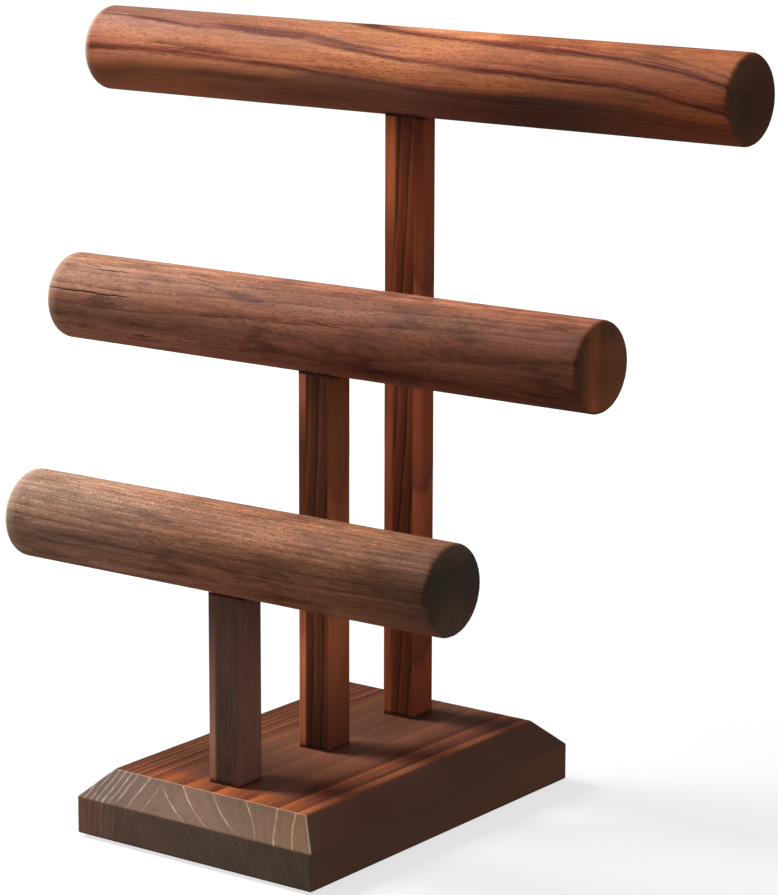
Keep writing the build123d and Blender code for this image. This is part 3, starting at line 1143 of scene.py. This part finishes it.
def board_side(spot, colour, ring):
    """The plain middle of the top, its darker rear and left, painted light on its front strip, and its
    right side.
    """
    along, across, up = spot
    plain = span(across, -34.0, -14.0) * (1.0 - span(across, 26.0, 36.0)) * span(along, -78.0, -70.0)
    colour = mixed(plain * 0.70, colour, srgb(144, 96, 74))
    far = span(along, -20.0, 30.0) * span(across, 12.0, 30.0)
    colour = tinted(far, colour, (0.66, 0.62, 0.60))
    colour = toned(across, colour, (-56.0, 0.66, 0.60, 0.66), (-44.0, 1, 1, 1))
    # Darker towards the rear on the top's left side and across its rear
    rear_and_left = larger(span(across, 0.0, -15.0), span(along, 0.0, 20.0) * span(across, 25.0, 10.0))
    colour = mixed(rear_and_left, colour, toned(along, colour, *TOP_REAR_TONES))
    # Painted light: the strip along the front edge, clear of the shadows of the posts and bars, is
    # brighter and warmer
    front_light = span(along, -68.0, -76.0) * span(across, -48.0, -28.0) * span(across, 52.0, 50.0)
    colour = tinted(front_light, colour, (1.40, 1.22, 0.96))
    right = span(across, 52.0, 55.0)
    colour = mixed(right * 0.85, colour, srgb(104, 76, 64))
    upright = right * span(-up, BEVEL - 1.0, BEVEL + 1.0)
    return mixed(upright, colour, toned(along, colour, *RIGHT_TONES))


# Tints from left to right on the front bevel, and on the upright face under it, darker there as
# painted shade
BEVEL_TONES = ((-53, 0.68, 0.74, 0.8), (-38, 0.71, 0.71, 0.76), (-25, 0.88, 0.83, 0.82),
               (-11.5, 0.91, 0.88, 0.84), (23.7, 0.75, 0.7, 0.66), (48, 0.81, 0.74, 0.61))
UPRIGHT_TONES = ((-62, 0.87, 0.69, 0.63), (-42, 0.62, 0.57, 0.54), (-5, 0.56, 0.57, 0.57),
                 (20, 0.53, 0.57, 0.56), (48, 0.47, 0.51, 0.49))


def board_end(spot, colour):
    """The upright face is darker than the bevel by painted shade, and its left end is reddish."""
    _, across, up = spot
    upright = span(-up, BEVEL - 0.6, BEVEL + 0.4)
    return mixed(upright, toned(across, colour, *BEVEL_TONES), toned(across, colour, *UPRIGHT_TONES))


def board_rims(spot):
    """The pale rims show on the bevel and hardly on the upright face under it."""
    return 1.0 - span(-spot[2], BEVEL - 0.5, BEVEL + 0.5) * 0.8


def board_arris_highlight(spot, facing):
    """A painted highlight on the arris between side and end grain round the bevel."""
    on_bevel = span(spot[2], -BEVEL - 1.0, -BEVEL + 1.0)
    return span(facing, 0.10, 0.30) * span(facing, 0.66, 0.52) * on_bevel * 0.5

# %% Drill and finish the board
SHANK_HOLE = 2.25                # mm, radius of a screw hole
COUNTERSINK = 5.5                # mm, radius of its mouth


def screw_holes(tiers):
    """A cutter for all the screw holes: each a cone at the mouth, then a straight hole."""
    mouth, top = board_low.z, board_high.z
    outline = [(COUNTERSINK + 1.0, mouth - 1.0), (SHANK_HOLE, mouth + COUNTERSINK - SHANK_HOLE),
               (SHANK_HOLE, top + 1.0)]
    shape = bmesh.new()
    for tier in tiers:
        one = skin("cutter", [hoop((0, tier.y), radius, z, 40) for radius, z in outline])
        shape.from_mesh(one.data)
        bpy.data.objects.remove(one)
    cutter = new_piece("cutter", [], [])
    shape.to_mesh(cutter.data)
    shape.free()
    return cutter


board = make_board()
press_relief(board, board_grain, board_rings)
cut_away(board, screw_holes(tiers))
finish_piece(board, wood(
    "board wood", 1, board_grain, board_rings, BOARD_PALETTE, BOARD_FIGURE,
    Touch(board_side, board_end, board_rims, None, board_arris_highlight)))
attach(board, "root")
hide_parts("base_board")

# %% [markdown]
# ## Felt pads
# A stick-on pad is punched from thick felt, so its edge is square but furry, and it is a little
# squashed at the rim. A disc of loops has its rim roughened by a few sines that don't repeat,
# and the felt's colour is a tangle of two noises.

# %% Make the pads
PAD_POINTS = 160
PAD_RIM = 0.35                   # mm of rounding at the rim
FUR = 0.06                       # mm that each of two ripples adds to the rim


def felt():
    material, start = new_material("pad felt")
    x, y, z = millimetres(start)
    tangle = noise(x / 0.5, y / 0.5, z / 0.5, 4.0)
    hair = noise(x / 0.12, y / 1.1, z / 0.2)
    colour = scaled(mixed(tangle, srgb(62, 44, 34), srgb(104, 80, 64)), 0.7 + hair * 0.6)
    bump = bumped(tangle + hair * 0.5, 0.8, 0.3 * MM)
    finish_material(start, Base_Color=colour, Roughness=0.95, Normal=bump, Specular_IOR_Level=0.2)
    return material


def make_pad(name):
    low, high = (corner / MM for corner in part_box(name))
    centre, radius = (low + high) / 2, (high.x - low.x) / 2
    turns = full_turn(PAD_POINTS)
    outline = [(r, low.z) for r in np.linspace(0.4, radius - PAD_RIM, 12)]
    for a in arc_steps(6)[1:]:
        outline.append((radius - PAD_RIM * (1 - math.sin(a)), low.z + PAD_RIM * (1 - math.cos(a))))
    outline += [(radius, z) for z in np.linspace(low.z + PAD_RIM, high.z, 6)[1:]]
    outline += [(r, high.z) for r in np.linspace(radius, 0.4, 12)[1:]]
    loops = []
    for reach, height in outline:
        fur = FUR * (np.sin(turns * 37 + height * 5) + np.sin(turns * 61 - height * 9) - 2.0)
        loops.append(hoop(centre, reach + fur * (reach / radius) ** 4, height, PAD_POINTS))
    return skin(f"{name}_felt", loops)


pad_felt = felt()
for name in ("front_left_pad", "front_right_pad", "rear_left_pad", "rear_right_pad"):
    pad = make_pad(name)
    finish_piece(pad, pad_felt)
    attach(pad, "root")
    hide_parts(name)

# %% [markdown]
# ## Dowels and screws
# The dowels and screws have their true shape from CAD, so they stay and only get a finish: pale
# beech with short flecks, and zinc-plated steel. A thread is the one form they lack. It is a
# ridge with a triangular section that winds up the screw's core, so a loop of turns makes it.

# %% Finish the dowels and screws
def beech():
    material, start = new_material("beech")
    x, y, z = millimetres(start)
    streak = noise(x / 0.5, y / 0.5, z / 9.0, 3.0)
    fleck = span(noise(x / 0.35, y / 0.35, z / 2.2 + 5.0, 1.0), 0.60, 0.70)
    colour = mixed(streak, srgb(206, 168, 126), srgb(226, 194, 154))
    colour = mixed(fleck * 0.5, colour, srgb(158, 112, 76))
    bump = bumped(streak - fleck, 0.3, 0.1 * MM)
    finish_material(start, Base_Color=colour, Roughness=0.6 + streak * 0.15, Normal=bump)
    return material


def zinc():
    material, start = new_material("zinc plate")
    x, y, z = millimetres(start)
    bloom = noise(x / 1.6, y / 1.6, z / 1.6, 3.0)
    turned = noise(x / 6.0, y / 6.0, z / 0.15, 1.0)
    colour = mixed(bloom, srgb(168, 166, 158), srgb(206, 200, 184))
    bump = bumped(turned, 0.2, 0.05 * MM)
    finish_material(start, Base_Color=colour, Metallic=1.0, Roughness=0.26 + bloom * 0.2, Normal=bump)
    return material


def use_material(piece, material):
    """Give a piece that came from CAD a new finish in every slot."""
    for slot in piece.material_slots:
        slot.material = material
    if not piece.material_slots:
        piece.data.materials.append(material)

# %% Wind the threads
THREAD_PITCH = 1.8               # mm
THREAD_LOW, THREAD_HIGH = 23.5, 47.0     # mm above the table
THREAD_OUT, THREAD_CORE = 2.0, 1.36      # mm, radii of its crest and its root
STEPS_PER_TURN = 40


def make_thread(tier):
    """A tapering ridge that winds up the core of a screw."""
    count = round((THREAD_HIGH - THREAD_LOW) / THREAD_PITCH * STEPS_PER_TURN)
    loops = []
    for step in range(count + 1):
        angle = 2 * math.pi * step / STEPS_PER_TURN
        height = THREAD_LOW + (THREAD_HIGH - THREAD_LOW) * step / count
        fade = min(1.0, step / STEPS_PER_TURN * 2, (count - step) / STEPS_PER_TURN * 2)
        crest = THREAD_CORE + (THREAD_OUT - THREAD_CORE) * max(fade, 0.05)
        section = [(THREAD_CORE, -0.45), (crest, -0.05), (crest, 0.05), (THREAD_CORE, 0.45)]
        loops.append([
            (r * math.cos(angle), tier.y + r * math.sin(angle), height + rise) for r, rise in section])
    return skin(f"{tier.name}_screw_thread", [np.array(loop) for loop in loops])


steel, peg_wood = zinc(), beech()
for tier in tiers:
    use_material(bpy.data.objects[f"{tier.name}_dowel"], peg_wood)
    use_material(bpy.data.objects[f"{tier.name}_screw"], steel)
    thread = make_thread(tier)
    finish_piece(thread, steel)
    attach(thread, "root")

# %% [markdown]
# ## Light and ground
# The stand was lit from the left by one large soft source, with a weak fill from the front, on
# white. A lamp from the left and above makes the long shadows on the board, and the ground and
# the sky are white to the camera only, so they don't wash out the dark sides.

# %% Light the scene
def area_light(name, place, aim, width, power):
    data = bpy.data.lights.new(name, "AREA")
    data.size = width
    data.energy = power
    lamp = bpy.data.objects.new(name, data)
    lamp.location = place
    lamp.rotation_mode = "QUATERNION"
    lamp.rotation_quaternion = (Vector(aim) - Vector(place)).to_track_quat("-Z", "Y")
    bpy.context.scene.collection.objects.link(lamp)


area_light("key", (-1.25, -0.32, 1.42), (0, 0, 0.18), 0.7, 46.0)
area_light("fill", (-0.5, -1.9, 1.3), (0, 0, 0.25), 1.2, 0.9)
area_light("right fill", (1.7, -0.3, 0.35), (0, 0, 0.18), 1.0, 6.0)
area_light("left bounce", (-0.62, -0.55, 0.06), (-0.1, 0, 0.22), 0.4, 1.6)


def grey(level):
    """A colour with this level in red, green and blue."""
    return level.node("CombineColor", None, {"Red": level, "Green": level, "Blue": level})


world = bpy.data.worlds.new("studio")
bpy.context.scene.world = world
world.use_nodes = True
world.node_tree.nodes.clear()
sky = Shade(world.node_tree)
camera_ray = sky.node("LightPath", output="Is Camera Ray")
glossy_ray = sky.node("LightPath", output="Is Glossy Ray")
seen = larger(camera_ray, sky.node("LightPath", output="Is Transmission Ray"))
level = 0.13 + larger(seen, glossy_ray * 0.20) * 0.87
sky.node("OutputWorld", None, {"Surface": sky.node("Background", None, {"Color": grey(level)})})
print(len(bpy.data.lights), "lamps")

# %% Lay the paper
GROUND = 6000.0                  # mm from the middle to an edge
corners = np.array([(-1, -1, 0), (1, -1, 0), (1, 1, 0), (-1, 1, 0)]) * GROUND
ground = new_piece("ground", corners, [(0, 1, 2, 3)])
paper, sheet = new_material("paper")
centre = sheet.node("TexCoord", output="Object")
away = centre.node("VectorMath", {"operation": "LENGTH"}, {0: centre}, output="Value")
camera_ray = sheet.node("LightPath", output="Is Camera Ray")
matt = sheet.node("BsdfDiffuse", None, {"Color": grey(0.15 + camera_ray * 0.17)})
bright = (0.72 + span(away, 0.30, 1.1) * 0.28) * camera_ray
glow = sheet.node("Emission", None, {"Color": grey(bright)})
sheet.node("OutputMaterial", None, {"Surface": sheet.node("AddShader", None, {0: matt, 1: glow})})
ground.data.materials.append(paper)

bpy.context.scene.view_settings.view_transform = "Standard"
